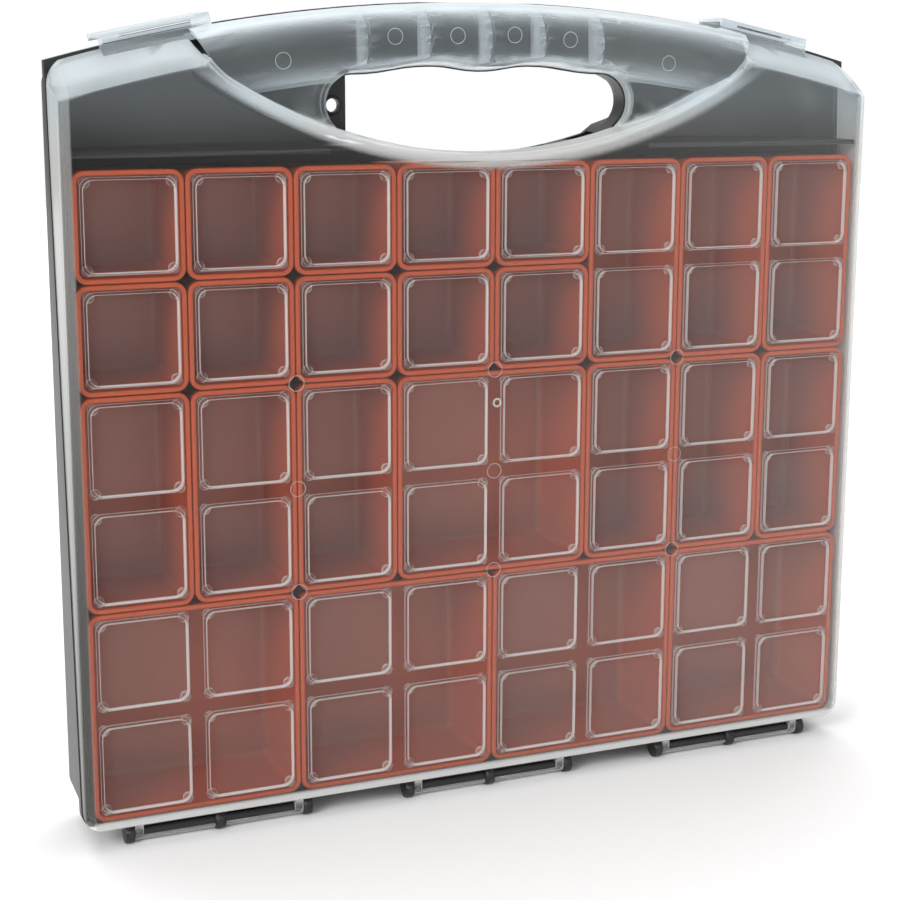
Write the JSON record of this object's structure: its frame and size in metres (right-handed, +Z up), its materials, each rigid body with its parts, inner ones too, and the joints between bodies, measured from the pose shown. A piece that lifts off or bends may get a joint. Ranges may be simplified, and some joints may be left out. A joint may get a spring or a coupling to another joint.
{
  "type": "compartment storage box",
  "caption": "Flat black carry case for small parts with a hinged clear lid, arched handle, two snap latches and removable orange bins of several sizes.",
  "frame": {"origin": "on the floor under the middle of the case, halfway between the front of the lid and the back of the tray", "axes": "+X to the right along the hinge, +Y from the lid at the front to the back of the tray, +Z up to the handle"},
  "size_m": [0.362, 0.0454, 0.3405],
  "materials": {
    "black_plastic": "moulded polypropylene, satin",
    "clear_plastic": "natural polypropylene, translucent",
    "orange_plastic": "moulded polypropylene, satin"
  },
  "bodies": {
    "case": {"tray": "black_plastic", "bin_small_01": "orange_plastic", "bin_small_02": "orange_plastic", "bin_small_03": "orange_plastic", "bin_small_04": "orange_plastic", "bin_small_05": "orange_plastic", "bin_small_06": "orange_plastic", "bin_small_07": "orange_plastic", "bin_small_08": "orange_plastic", "bin_small_09": "orange_plastic", "bin_small_10": "orange_plastic", "bin_tall_01": "orange_plastic", "bin_tall_02": "orange_plastic", "bin_tall_03": "orange_plastic", "bin_tall_04": "orange_plastic", "bin_tall_05": "orange_plastic", "bin_tall_06": "orange_plastic", "bin_tall_07": "orange_plastic", "bin_tall_08": "orange_plastic", "bin_tall_09": "orange_plastic", "bin_large_01": "orange_plastic", "bin_large_02": "orange_plastic", "bin_large_03": "orange_plastic", "bin_large_04": "orange_plastic", "bin_large_05": "orange_plastic"},
    "lid": {"lid": "clear_plastic"},
    "latch_left": {"latch_left": "clear_plastic"},
    "latch_right": {"latch_right": "clear_plastic"}
  },
  "joints": [
    {"name": "lid_hinge", "type": "hinge", "parent": "case", "child": "lid", "pos_m": [0, -0.0162, 0.0042], "axis": [1, 0, 0], "range_deg": [0, 180]},
    {"name": "latch_left_hinge", "type": "hinge", "parent": "lid", "child": "latch_left", "pos_m": [-0.13776, -0.0029, 0.32789], "axis": [0.9798, 0, 0.1999], "range_deg": [0, 110]},
    {"name": "latch_right_hinge", "type": "hinge", "parent": "lid", "child": "latch_right", "pos_m": [0.13776, -0.0029, 0.32789], "axis": [0.9798, 0, -0.1999], "range_deg": [0, 110]}
  ]
}
